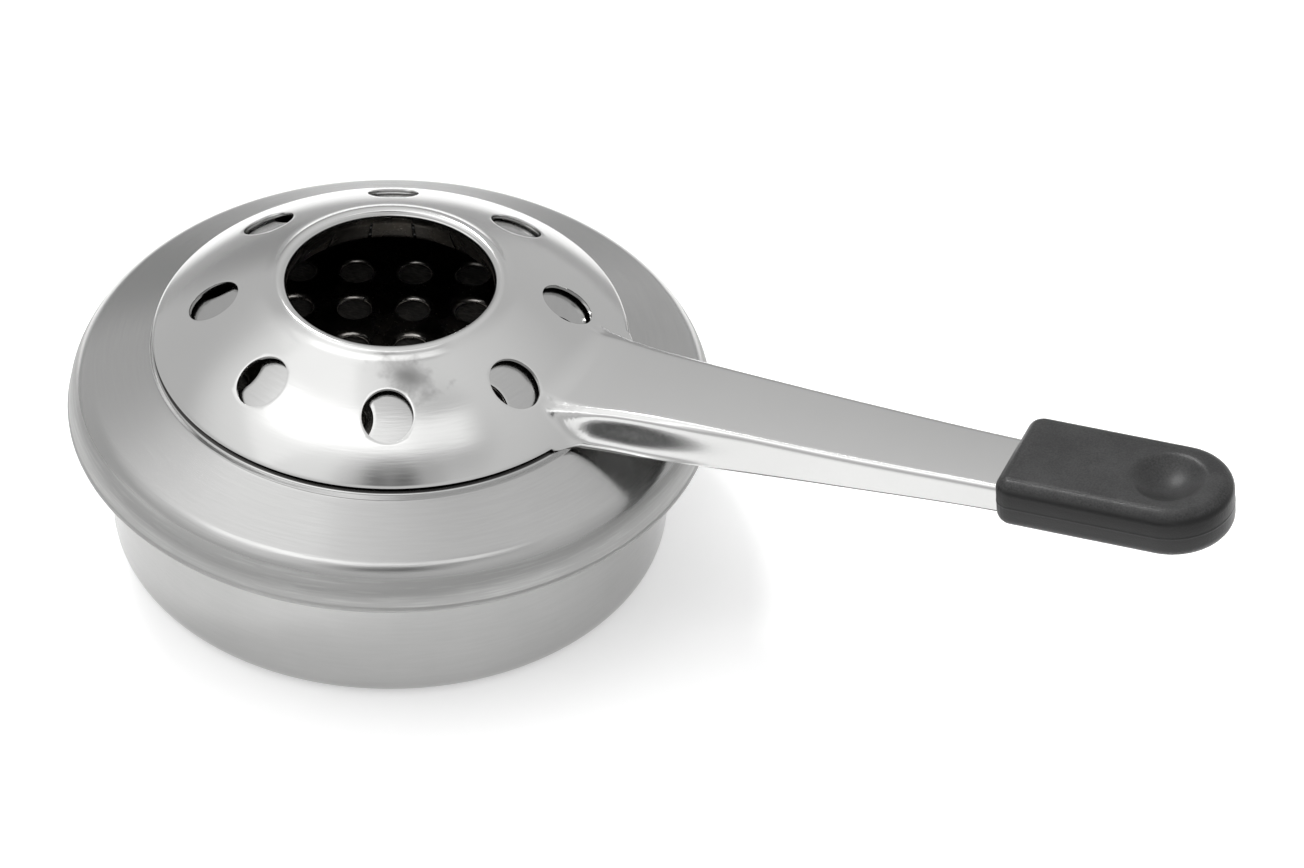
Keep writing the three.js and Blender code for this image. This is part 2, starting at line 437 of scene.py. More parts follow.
class Nodes:
    """A short hand for building a node tree."""

    def __init__(self, tree: bpy.types.NodeTree) -> None:
        """Starts on a tree."""
        self.tree = tree

    def add(self, kind: str, **values: object) -> bpy.types.Node:
        """Adds a node.

        Args:
            kind: the node's type.
            values: the node's own settings, by name.

        Returns:
            The new node.
        """
        node = self.tree.nodes.new(kind)
        for key, value in values.items():
            setattr(node, key, value)
        return node

    def put(self, value: Value, target: Socket) -> None:
        """Links a socket to a target, or sets the target's own value.

        Args:
            value: a socket or a constant.
            target: the input that takes it.
        """
        if isinstance(value, Socket):
            self.tree.links.new(value, target)
        else:
            target.default_value = value

    def math(self, operation: str, first: Value, second: Value = 0.0) -> Socket:
        """Works out one step of arithmetic.

        Args:
            operation: what is worked out.
            first: a socket or a number.
            second: a socket or a number.

        Returns:
            The result.
        """
        node = self.add("ShaderNodeMath", operation=operation)
        self.put(first, node.inputs[0])
        self.put(second, node.inputs[1])
        return node.outputs[0]

    def times(self, first: Value, second: Value) -> Socket:
        """Multiplies two numbers."""
        return self.math("MULTIPLY", first, second)

    def plus(self, first: Value, second: Value) -> Socket:
        """Adds two numbers."""
        return self.math("ADD", first, second)

    def vector(self, operation: str, first: Value, second: Value, result: str = "Vector") -> Socket:
        """Works out one step of arithmetic on vectors.

        Args:
            operation: what is worked out.
            first: a socket or three numbers.
            second: a socket or three numbers.
            result: the name of the wanted result, "Vector" or "Value".

        Returns:
            The result.
        """
        node = self.add("ShaderNodeVectorMath", operation=operation)
        self.put(first, node.inputs[0])
        self.put(second, node.inputs[1])
        return node.outputs[result]

    def parts(self, source: Socket) -> tuple[Socket, ...]:
        """Splits a vector into its three numbers."""
        node = self.add("ShaderNodeSeparateXYZ")
        self.put(source, node.inputs[0])
        return tuple(node.outputs)

    def joined(self, *values: Value) -> Socket:
        """Makes a vector.

        Args:
            values: its three numbers, each a socket or a constant.

        Returns:
            The vector.
        """
        node = self.add("ShaderNodeCombineXYZ")
        for socket, value in zip(node.inputs, values):
            self.put(value, socket)
        return node.outputs[0]

    def noise(self, vector: Socket, scale: float, detail: float, w: Value = 0.0) -> Socket:
        """Adds a noise pattern.

        Args:
            vector: the place in the pattern.
            scale: how fine the pattern is.
            detail: how many finer patterns lie in it.
            w: the place along a fourth axis.

        Returns:
            The pattern, mostly between 0.3 and 0.7.
        """
        node = self.add("ShaderNodeTexNoise", noise_dimensions="4D")
        for key, value in (("Vector", vector), ("Scale", scale), ("Detail", detail), ("W", w)):
            self.put(value, node.inputs[key])
        return node.outputs["Fac"]

    def span(self, source: Socket, low: float, high: float, to_low: float = 0, to_high: float = 1) -> Socket:
        """Maps one range of numbers to another and holds the ends.

        Args:
            source: the number.
            low: the start of its range.
            high: the end of its range.
            to_low: what the start becomes.
            to_high: what the end becomes.

        Returns:
            The mapped number.
        """
        node = self.add("ShaderNodeMapRange")
        self.put(source, node.inputs["Value"])
        for key, value in (("From Min", low), ("From Max", high), ("To Min", to_low), ("To Max", to_high)):
            self.put(value, node.inputs[key])
        return node.outputs["Result"]

    def soft(self, spanned: Socket) -> Socket:
        """Gives a mapped range soft ends."""
        spanned.node.interpolation_type = "SMOOTHSTEP"
        return spanned

    def blend(self, share: Socket, first: Socket | Colour, second: Socket | Colour) -> Socket:
        """Mixes two colours.

        Args:
            share: how much of the second colour is wanted.
            first: a socket or a colour.
            second: a socket or a colour.

        Returns:
            The mixed colour.
        """
        node = self.add("ShaderNodeMix", data_type="RGBA")
        self.put(share, node.inputs["Factor"])
        colours = [socket for socket in node.inputs if socket.type == "RGBA"]
        for socket, value in zip(colours, (first, second)):
            self.put(value if isinstance(value, Socket) else (*value, 1), socket)
        return next(socket for socket in node.outputs if socket.type == "RGBA")

    def bump(self, height: Socket, distance: float, strength: float) -> Socket:
        """Turns a height into a normal.

        Args:
            height: the height as a share.
            distance: how high a share of 1 is.
            strength: how much of the relief shows.

        Returns:
            The normal.
        """
        node = self.add("ShaderNodeBump")
        for key, value in (("Height", height), ("Distance", distance), ("Strength", strength)):
            self.put(value, node.inputs[key])
        return node.outputs["Normal"]


class SkyNodes(Nodes):
    """The node tree of the surroundings, with the direction that is looked in."""

    def __init__(self, tree: bpy.types.NodeTree) -> None:
        """Starts on the world's tree."""
        super().__init__(tree)
        self.way = self.add("ShaderNodeTexCoord").outputs["Generated"]

    def toward(self, direction: Vector) -> Socket:
        """Gives the cosine of the angle to a direction."""
        return self.vector("DOT_PRODUCT", self.way, direction, "Value")


class FinishNodes(Nodes):
    """The node tree of a new material, with its shader and the place on the object."""

    def __init__(self, name: str) -> None:
        """Starts a new material with only a shader and an output.

        Args:
            name: the material's name.
        """
        self.material = bpy.data.materials.new(name)
        self.material.use_nodes = True
        super().__init__(self.material.node_tree)
        self.shader = self.tree.nodes["Principled BSDF"]
        self.place = self.add("ShaderNodeTexCoord").outputs["Object"]

    def shade(self, name: str, value: Value) -> None:
        """Links one of the shader's inputs, or sets its own value."""
        self.put(value, self.shader.inputs[name])

    def radius(self) -> Socket:
        """Gives the distance from the burner's axis."""
        x, y, _ = self.parts(self.place)
        return self.math("SQRT", self.plus(self.times(x, x), self.times(y, y)))


@dataclass(frozen=True)
class Finish:
    """A material made of nodes. Each kind says how it dresses the shader."""

    name: str

    def material(self) -> Material:
        """Builds the material."""
        n = FinishNodes(self.name)
        self.dress(n)
        return n.material


@dataclass(frozen=True)
class SteelFinish(Finish):
    """Stainless steel grained round the axis, with soft patches, a scratched skirt, a painted shadow ring and
    a painted dark reflection.
    """

    colour: Colour = (0.42, 0.42, 0.416)
    worn_colour: Colour = (0.34, 0.34, 0.336)
    painted_dark_colour: Colour = (0.03, 0.029, 0.028)
    roughness: Range = (0.14, 0.22)
    uneven: Range = (0.36, 0.64)
    grain_fineness: float = 2600.0
    grain_length: float = 7
    grain_depth: float = 0.012 * MM
    rubbed: Range = (0.4, 0.6)
    rub: float = 0.13
    rub_on_skirt: float = 0.8
    stretch: float = 0.35
    patches: float = 45.0
    patchy: Range = (0.4, 0.7)
    patch_wear: float = 0.4
    skirt_wear: float = 0.5
    skirt_low: Range = (24.0 * MM, 24.6 * MM)
    skirt_high: Range = (29.5 * MM, 30.3 * MM)
    skirt_roughness: float = 0.3
    # Painted shadow: the ring in the gap under the disc's edge is darkened where shade falls.
    shade_ring: Range = (36.5 * MM, 38.2 * MM)
    shade_ring_over: float = 36.6 * MM
    shade_ring_fade: float = 0.1 * MM
    shade_ring_share: float = 0.95
    # Painted dark reflection: a frayed dark patch on the dome's front, near the neck.
    dark_reflection_place: Place = (11.4 * MM, -19.4 * MM, 48.1 * MM)
    dark_reflection_stretch: Place = (0.55, 1.1, 0.8)
    dark_reflection_reach: float = 0.0
    dark_reflection_share: float = 0.62
    fray_fineness: float = 300
    frayed: Range = (0.35, 0.65)
    fray: Range = (0.6, 1.5)

    def dress(self, n: FinishNodes) -> None:
        """Sets the shader's inputs.

        Args:
            n: the material's nodes.
        """
        x, y, z = n.parts(n.place)
        radius = n.radius()
        safe = n.math("MAXIMUM", radius, 0.5 * MM)
        round_x, round_y = (n.times(n.math("DIVIDE", part, safe), self.grain_length) for part in (x, y))
        way = n.joined(round_x, round_y, n.times(radius, self.grain_fineness))
        streak = n.noise(way, 1.0, 5, n.times(z, self.grain_fineness))
        patch = n.noise(n.place, self.patches, 3)
        skirt = n.times(n.span(z, *self.skirt_high, 1, 0), n.span(z, *self.skirt_low))
        rubbed = n.times(n.span(streak, *self.rubbed), n.span(skirt, 0, 1, self.rub, self.rub_on_skirt))
        cloudy = n.plus(n.span(patch, *self.patchy, 0, self.patch_wear), n.times(skirt, self.skirt_wear))
        metal = n.blend(n.plus(rubbed, cloudy), self.colour, self.worn_colour)
        # Painted shade in the ring under the disc's edge and a painted dark reflection on the dome both mix
        # the base colour towards a dark colour.
        n.shade("Base Color", n.blend(self.painted_darkness(n, radius, z), metal, self.painted_dark_colour))
        rough = n.span(n.plus(n.times(streak, 0.5), n.times(patch, 0.5)), *self.uneven, *self.roughness)
        n.shade("Roughness", n.plus(rough, n.times(skirt, self.skirt_roughness)))
        n.shade("Metallic", 1)
        n.shade("Anisotropic", self.stretch)
        turn = n.add(
            "ShaderNodeVectorTransform", vector_type="VECTOR", convert_from="OBJECT", convert_to="WORLD",
        )
        n.put(n.joined(n.times(y, -1), x, 0.0), turn.inputs[0])
        n.shade("Tangent", turn.outputs[0])
        n.shade("Normal", n.bump(streak, self.grain_depth, 1.0))

    def painted_darkness(self, n: FinishNodes, radius: Socket, z: Socket) -> Socket:
        """Gives how much painted darkness a place gets: painted shade in the ring under the disc's edge, and a
        painted dark reflection on the dome.

        Args:
            n: the material's nodes.
            radius: the place's distance from the axis.
            z: the place's height.

        Returns:
            The share of painted dark colour.
        """
        inner, outer = self.shade_ring
        outside = n.span(radius, inner - 3 * self.shade_ring_fade, inner)
        ring = n.math("MINIMUM", outside, n.span(radius, outer, outer + self.shade_ring_fade, 1, 0))
        high = n.span(z, self.shade_ring_over, self.shade_ring_over + self.shade_ring_fade, 0, self.shade_ring_share)
        ring_shade = n.times(ring, high)
        if not self.dark_reflection_reach:
            return ring_shade
        # Painted dark reflection on the dome, with a frayed edge.
        off = n.vector("MULTIPLY", n.vector("SUBTRACT", n.place, self.dark_reflection_place), self.dark_reflection_stretch)
        frayed = n.span(n.noise(n.place, self.fray_fineness, 3), *self.frayed, *self.fray)
        away = n.times(n.vector("DISTANCE", off, (0, 0, 0), "Value"), frayed)
        return n.math("MAXIMUM", ring_shade, n.soft(n.span(away, 0, self.dark_reflection_reach, self.dark_reflection_share, 0)))


@dataclass(frozen=True)
class SootedFinish(Finish):
    """Steel that the flame has darkened near the axis, with brown heat colour, specks of bare metal, bright
    hole lips that also stand in for their highlights, and painted shade further out.
    """

    colour: Colour = (0.17, 0.166, 0.158)
    heat: Colour = (0.31, 0.275, 0.235)
    bare_and_highlight: Colour = (0.85, 0.82, 0.78)
    # Painted shade: further out, on undersides such as the handle's, the colour turns darker than the soot.
    far_painted_shade: Colour = (0.1, 0.1, 0.098)
    sooted: Range = (36.0 * MM, 42.0 * MM)
    # The hole lips' bright bare-metal colour also stands in for the highlights on them.
    lip_highlight_top: Range = (23.0 * MM, 23.36 * MM)
    lip_highlight_foot: Range = (22.5 * MM, 22.52 * MM)
    soot_fineness: float = 160
    dusty: Range = (0.5, 0.6)
    speck_fineness: float = 2300
    specked: Range = (0.63, 0.7)
    relief: float = 0.04 * MM
    uneven: Range = (0.35, 0.65)
    roughness: Range = (0.16, 0.36)
    heated: Range = (0.46, 0.72)
    heat_share: float = 0.75

    def dress(self, n: FinishNodes) -> None:
        """Sets the shader's inputs.

        Args:
            n: the material's nodes.
        """
        soot = n.noise(n.place, self.soot_fineness, 5)
        specks = n.noise(n.place, self.speck_fineness, 2)
        speck = n.times(n.span(specks, *self.specked), n.span(soot, *self.dusty))
        dark = n.blend(n.span(soot, *self.heated, 0, self.heat_share), self.colour, self.heat)
        _, _, z = n.parts(n.place)
        # Bare-metal specks, and the bright hole lips, whose colour also stands in for their highlights.
        lip = n.times(n.span(z, *self.lip_highlight_top, 1, 0), n.span(z, *self.lip_highlight_foot))
        stained = n.blend(n.math("MAXIMUM", speck, lip), dark, self.bare_and_highlight)
        # Painted shade: beyond the sooted radius the colour turns to the darker far colour.
        n.shade("Base Color", n.blend(n.span(n.radius(), *self.sooted), stained, self.far_painted_shade))
        n.shade("Roughness", n.span(soot, *self.uneven, *self.roughness))
        n.shade("Metallic", 1)
        n.shade("Normal", n.bump(specks, self.relief, 0.5))


@dataclass(frozen=True)
class PlasticFinish(Finish):
    """Black moulded plastic with a fine grain, paler on the top face, with painted shade on its sides, darkest
    just under the edge.
    """

    colour: Colour = (0.014, 0.014, 0.0142)
    pale: Colour = (0.037, 0.037, 0.0372)
    # Painted shade: the side colour is darkest just under the top edge, and the lower side is lighter.
    side: Colour = (0.006, 0.006, 0.0062)
    low: Colour = (0.016, 0.016, 0.0162)
    roughness: Range = (0.33, 0.38)
    shine: float = 0.34
    grain_fineness: float = 3200
    grain_depth: float = 0.06 * MM
    cloud_fineness: float = 110
    cloudy: Range = (0.3, 0.7)
    worn: Range = (0.82, 1.2)
    top: float = 50.2 * MM
    start: float = 106.1 * MM
    slope: float = math.radians(5.1)
    side_shade_from: Range = (0.7 * MM, 1.4 * MM)
    side_light_from: Range = (2.4 * MM, 6.0 * MM)
    dimple_place: float = 132.0 * MM
    dimple_clear: Range = (6.2 * MM, 7.0 * MM)

    def dress(self, n: FinishNodes) -> None:
        """Sets the shader's inputs.

        Args:
            n: the material's nodes.
        """
        grain = n.noise(n.place, self.grain_fineness, 3)
        cloud = n.noise(n.place, self.cloud_fineness, 4)
        x, y, z = n.parts(n.place)
        rise = n.times(n.math("SUBTRACT", x, self.start), math.tan(self.slope))
        drop = n.math("SUBTRACT", n.plus(rise, self.top), z)
        away = n.vector("DISTANCE", n.joined(x, y, 0.0), (self.dimple_place, 0, 0), "Value")
        outside = n.span(away, *self.dimple_clear)
        face = n.blend(n.span(n.plus(cloud, grain), *self.worn), self.colour, self.pale)
        # Painted shade on the sides, lighter towards the bottom, kept out of the dimple.
        side = n.blend(n.soft(n.span(drop, *self.side_light_from)), self.side, self.low)
        under = n.times(n.soft(n.span(drop, *self.side_shade_from)), outside)
        n.shade("Base Color", n.blend(under, face, side))
        n.shade("Roughness", n.span(cloud, *self.cloudy, *self.roughness))
        n.shade("Specular IOR Level", self.shine)
        n.shade("Normal", n.bump(grain, self.grain_depth, 0.6))


@dataclass(frozen=True)
class WoolFinish(Finish):
    """Grey mineral wool, stained by soot."""

    colour: Colour = (0.075, 0.07, 0.062)
    stain: Colour = (0.012, 0.011, 0.010)
    fibre_fineness: float = 900
    fibre_stretch: Place = (1.0, 2.6, 1.0)
    tuft_fineness: float = 260
    stained: Range = (0.16, 0.36)
    uneven: Range = (0.3, 0.7)
    roughness: Range = (0.8, 1.0)
    sheen: float = 0.2
    relief: float = 0.4 * MM

    def dress(self, n: FinishNodes) -> None:
        """Sets the shader's inputs.

        Args:
            n: the material's nodes.
        """
        fibre = n.noise(n.vector("MULTIPLY", n.place, self.fibre_stretch), self.fibre_fineness, 4)
        tuft = n.noise(n.place, self.tuft_fineness, 5)
        mottle = n.times(fibre, tuft)
        n.shade("Base Color", n.blend(n.span(mottle, *self.stained), self.stain, self.colour))
        n.shade("Roughness", n.span(tuft, *self.uneven, *self.roughness))
        n.shade("Sheen Weight", self.sheen)
        n.shade("Normal", n.bump(mottle, self.relief, 0.9))


@dataclass
class DomeLine:
    """The sizes that the regulator's dome and the vent cone under it share."""

    disc_radius: float = 38.3 * MM
    disc_height: float = 38.25 * MM
    opening: float = 16.7 * MM
    rim_round: float = 1.25 * MM
    rim_height: float = 50.35 * MM
    rim_end: float = math.radians(20)
    turn_radius_share: float = 0.405
    turn_height_share: float = 0.59
    sheet: float = 0.6 * MM
    row: float = 0.45 * MM
    rows_below: int = 45
    last_row: float = 20.75 * MM

    def rim_centre(self) -> Vector:
        """Gives the middle of the rolled rim's round."""
        return Vector((self.opening + self.rim_round, self.rim_height - self.rim_round))

    def crease(self) -> Vector:
        """Gives the point where the dome's line would meet the rolled rim."""
        return self.rim_centre() + self.rim_round * polar(self.rim_end)

    def turn(self) -> Vector:
        """Gives the point that the dome's line is drawn towards.

        Returns:
            The point's radius and height.
        """
        edge, crease = Vector((self.disc_radius, self.disc_height)), self.crease()
        return Vector((
            mix(edge.x, crease.x, self.turn_radius_share),
            mix(edge.y, crease.y, self.turn_height_share),
        ))

    def height(self, radius: float) -> float:
        """Gives the dome's height at a radius, and beyond its edge on the same slope.

        Args:
            radius: the distance from the axis.

        Returns:
            The height.
        """
        turn, crease = self.turn(), self.crease()
        if radius > self.disc_radius:
            slope = (turn.y - self.disc_height) / (self.disc_radius - turn.x)
            return self.disc_height - (radius - self.disc_radius) * slope
        bend = self.disc_radius - 2 * turn.x + crease.x
        fall = 2 * (turn.x - self.disc_radius)
        short = self.disc_radius - radius
        root = math.sqrt(max(fall * fall - 4 * bend * short, 0))
        share = min(2 * short / (-fall + root), 1.0) if short > 0 else 0
        return mix(mix(self.disc_height, turn.y, share), mix(turn.y, crease.y, share), share)

    def outline(self) -> Outline:
        """Gives the dome's upper face.

        Returns:
            The line from the disc's edge up to the last row below the crease.
        """
        count = round((self.disc_radius - self.last_row) / self.row)
        radii = [self.disc_radius - i * self.row for i in range(count + 1)]
        return Outline([Vector((radius, self.height(radius))) for radius in radii])

    def below(self, gap: float) -> Outline:
        """Gives a line that follows the dome under it.

        Args:
            gap: the distance between the two.

        Returns:
            The line, with a point on each of the dome's rows, and one row beyond its edge.
        """
        probes = [quarter * MM / 4 for quarter in range(170, 72, -1)]
        points = [Vector((radius, self.height(radius))) for radius in probes]
        lower = Outline()
        for before, point, after in zip(points, points[1:], points[2:]):
            along = (after - before).normalized()
            lower.points.append(point + Vector((-along.y, along.x)) * gap)
        radii = [self.disc_radius + self.row - i * self.row for i in range(self.rows_below)]
        return Outline([Vector((radius, lower.height_at(radius))) for radius in radii])


@dataclass
class FuelBowl:
    """The bowl that holds the fuel, with the flange and lip that the cover grips."""

    radius: float = 45.3 * MM
    corner: float = 4.0 * MM
    flange_height: float = 25.2 * MM
    lip_radius: float = 50.8 * MM
    lip_rise: float = 3.4 * MM
    bend: float = 0.6 * MM
    sheet: float = 0.6 * MM
    cut_edge: float = 0.12 * MM
    columns: int = 192

    def build(self, steel: Material, sooted: Material) -> Object:
        """Turns the bowl from one sheet and dresses it.

        Args:
            steel: the outside's finish.
            sooted: the inside's finish.

        Returns:
            The bowl.
        """
        line = Outline().to(0, 0).to(self.radius - self.corner - 2 * MM, 0, 6)
        line.arc(Vector((self.radius - self.corner, self.corner)), self.corner, -90, 0, 14)
        line.to(self.radius, self.flange_height, 14).to(self.lip_radius, self.flange_height, 4)
        line.to(self.lip_radius, self.flange_height + self.lip_rise, 3)
        bm = spun(line.eased(self.bend), self.columns)
        face_up(bm, lambda face: -face.normal.z if face.calc_center_median().z < MM else 0)
        bowl = made_piece("fuel_bowl_shell", bm, "burner", "bowl_steel", steel, sooted)
        add_thickness(bowl, self.sheet, self.cut_edge)
        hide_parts("fuel_bowl")
        return bowl


@dataclass
class Cover:
    """The crimped cover: hem, skirt, shoulder, sloping plate, and the vented cone in its middle."""

    dome: DomeLine
    hem_radius: float = 52.3 * MM
    hem_height: float = 24.3 * MM
    hem_inside: float = 47.1 * MM
    hem_round: float = 0.5 * MM
    hem_swell: float = 0.25 * MM
    skirt_turn: Vector = point_field(52.04, 27.35)
    skirt_top: Vector = point_field(51.29, 28.86)
    shoulder_turn: Vector = point_field(50.2, 31.05)
    shoulder_end: Vector = point_field(48.2, 31.95)
    foot_radius: float = 38.8 * MM
    foot_height: float = 36.2 * MM
    step: Vector = point_field(-0.32, 0.8)
    cone_gap: float = 1.2 * MM
    mouth_radius: float = 17.8 * MM
    mouth_slope: float = 0.38
    mouth_row: float = 0.4 * MM
    step_turn: Vector = point_field(-0.25, 0.2)
    cone_inset: float = 1.5 * MM
    ledge_width: float = 1.6 * MM
    bend: float = 0.2 * MM
    cut_edge: float = 0.1 * MM
    lag: float = math.radians(13)
    lean: float = 0.014
    lean_way: float = math.radians(111.2)
    lean_over: float = 5 * MM
    columns: int = 320

    def line(self) -> Outline:
        """Gives the cover's outer face.

        Returns:
            The line from the hem to the mouth of the cone.
        """
        cone = self.dome.below(self.cone_gap).points
        foot = Vector((self.foot_radius, self.foot_height))
        ledge = foot + self.step
        first = next(p for p in cone if p.x < self.foot_radius - self.ledge_width)
        corner = Vector((self.hem_radius, self.hem_height))
        swell = Vector((self.hem_radius - self.hem_swell, self.hem_height + 2 * self.hem_round))
        line = Outline().to(self.hem_inside, self.hem_height)
        line.to(self.hem_radius - self.hem_round, self.hem_height, 4)
        line.curve(corner, corner + Vector((0, self.hem_round)), 4)
        line.curve(corner + Vector((0, 1.3 * self.hem_round)), swell, 3)
        line.curve(self.skirt_turn, self.skirt_top, 8).curve(self.shoulder_turn, self.shoulder_end, 18)
        line.to(foot.x, foot.y, 14).to(ledge.x, ledge.y, 3)
        line.curve(ledge + self.step_turn, first, 6)
        line.points += [p for p in cone if self.mouth_radius + self.mouth_row < p.x < first.x - 0.01 * MM]
        last = line.points[-1]
        line.to(self.mouth_radius, last.y + (last.x - self.mouth_radius) * self.mouth_slope)
        return line.eased(self.bend)

    def build(self, steel: Material, sooted: Material) -> Object:
        """Turns the cover, opens its vents and dresses it.

        Args:
            steel: the outside's finish.
            sooted: the inside's finish.

        Returns:
            The cover.
        """
        line = self.line()
        cone = Outline([p for p in line.points if p.x <= self.cone_radius()])
        bm = spun(line, self.columns)
        Vents().cut(bm, lambda x, y: cone.height_at(math.hypot(x, y)), self.skirt_top.y)
        bmesh.ops.rotate(bm, cent=(0, 0, 0), matrix=about_axis(-self.lag), verts=bm.verts[:])
        self.lean_cone(bm)
        face_up(bm, lambda face: face.normal.z if face.calc_center_median().z > self.skirt_top.y else 0)
        cover = made_piece("cover_shell", bm, "burner", "bowl_steel", steel, sooted)
        add_thickness(cover, self.dome.sheet, self.cut_edge)
        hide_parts("cover")
        return cover

    def cone_radius(self) -> float:
        """Gives the distance from the axis at which the vent cone begins."""
        return self.foot_radius - self.cone_inset

    def lean_cone(self, bm: Mesh) -> None:
        """Leans the vent cone a little, so that the disc lies closer to it at the back than at the front.

        Args:
            bm: the cover's sheet.
        """
        way = polar(self.lean_way)
        for vert in bm.verts:
            inside = self.cone_radius() - vert.co.xy.length
            vert.co.z += self.lean * smooth_step(inside / self.lean_over) * vert.co.xy.dot(way)


@dataclass(frozen=True)
class Station:
    """The handle's section at one distance from the axis: half width and height of its top and of its feet."""

    reach: float
    top_half: float
    top: float
    foot_half: float
    foot: float


@dataclass
class HandleForm:
    """The pressed channel of the handle, as heights over the ground seen from above."""

    dome: DomeLine
    stations: tuple[Station, ...] = (
        Station(26.0, 10.2, 3.85, 17.5, 0.0),
        Station(34.5, 9.7, 4.05, 14.0, -0.35),
        Station(38.0, 9.4, 4.15, 12.4, -1.0),
        Station(43.0, 8.65, 4.5, 11.3, -1.2),
        Station(52.0, 8.05, 5.15, 10.8, -0.75),
        Station(80.0, 7.2, 6.65, 9.25, 2.25),
        Station(106.1, 6.4, 8.55, 8.0, 5.0),
        Station(132.0, 6.4, 10.86, 8.0, 7.31),
    )
    begin: float = 20 * MM
    root_blend: float = 1.6 * MM
    wall_blend: float = 0.8 * MM
    wall_reach: float = 1.2 * MM
    top_bend: float = 1.05 * MM
    crown: float = 0.2 * MM
    wall_steepness: float = 0.92
    steep_from: float = 26 * MM
    steep_over: float = 5 * MM
    steep_until: float = 44 * MM
    steep_fade: float = 22 * MM

    def value(self, key: str, reach: float) -> float:
        """Gives one size of the section at a distance from the axis, on a smooth line through the stations.

        Args:
            key: the name of the size.
            reach: the distance from the axis, in metres.

        Returns:
            The size in metres.
        """
        table = self.stations
        wanted = min(max(reach / MM, table[0].reach), table[-1].reach)
        i = max(j for j in range(len(table) - 1) if table[j].reach <= wanted)
        here, there = table[i], table[i + 1]
        before, after = table[max(i - 1, 0)], table[min(i + 2, len(table) - 1)]
        share = (wanted - here.reach) / (there.reach - here.reach)
        span = there.reach - here.reach
        a, b = getattr(here, key), getattr(there, key)
        start = (b - getattr(before, key)) / (there.reach - before.reach) * span
        end = (getattr(after, key) - a) / (after.reach - here.reach) * span
        square, cube = share * share, share**3
        return MM * (
            (2 * cube - 3 * square + 1) * a + (cube - 2 * square + share) * start
            + (3 * square - 2 * cube) * b + (cube - square) * end
        )

    def section(self, x: float, y: float) -> float:
        """Gives the height of the channel's upper face.

        Args:
            x: the place along the handle.
            y: the place across it.

        Returns:
            The height.
        """
        top, foot = self.value("top", x), self.value("foot", x)
        top_half, foot_half = self.value("top_half", x), self.value("foot_half", x)
        crown = self.crown * (1 - (y / top_half) ** 2)
        down = (abs(y) - top_half) / (foot_half - top_half)
        if 0 < down < 1:
            begun = smooth_step((x - self.steep_from) / self.steep_over)
            steep = begun * (1 - smooth_step((x - self.steep_until) / self.steep_fade))
            wave = down**3 * (down * (6 * down - 15) + 10)
            down = mix(down, wave, self.wall_steepness * steep)
        flange = top - down * (top - foot)
        return self.dome.disc_height + soft_pick(top + crown, flange, self.top_bend, Fit.LOWER)

    def height(self, x: float, y: float) -> float:
        """Gives the height of the pressed sheet, where the channel rises out of the dome.

        Args:
            x: the place along the handle.
            y: the place across it.

        Returns:
            The height.
        """
        dome = self.dome.height(math.hypot(x, y))
        if x < self.begin:
            return dome
        at_wall = smooth_step((abs(y) - self.value("top_half", x)) / self.wall_reach + 1)
        return soft_pick(dome, self.section(x, y), mix(self.root_blend, self.wall_blend, at_wall), Fit.HIGHER)


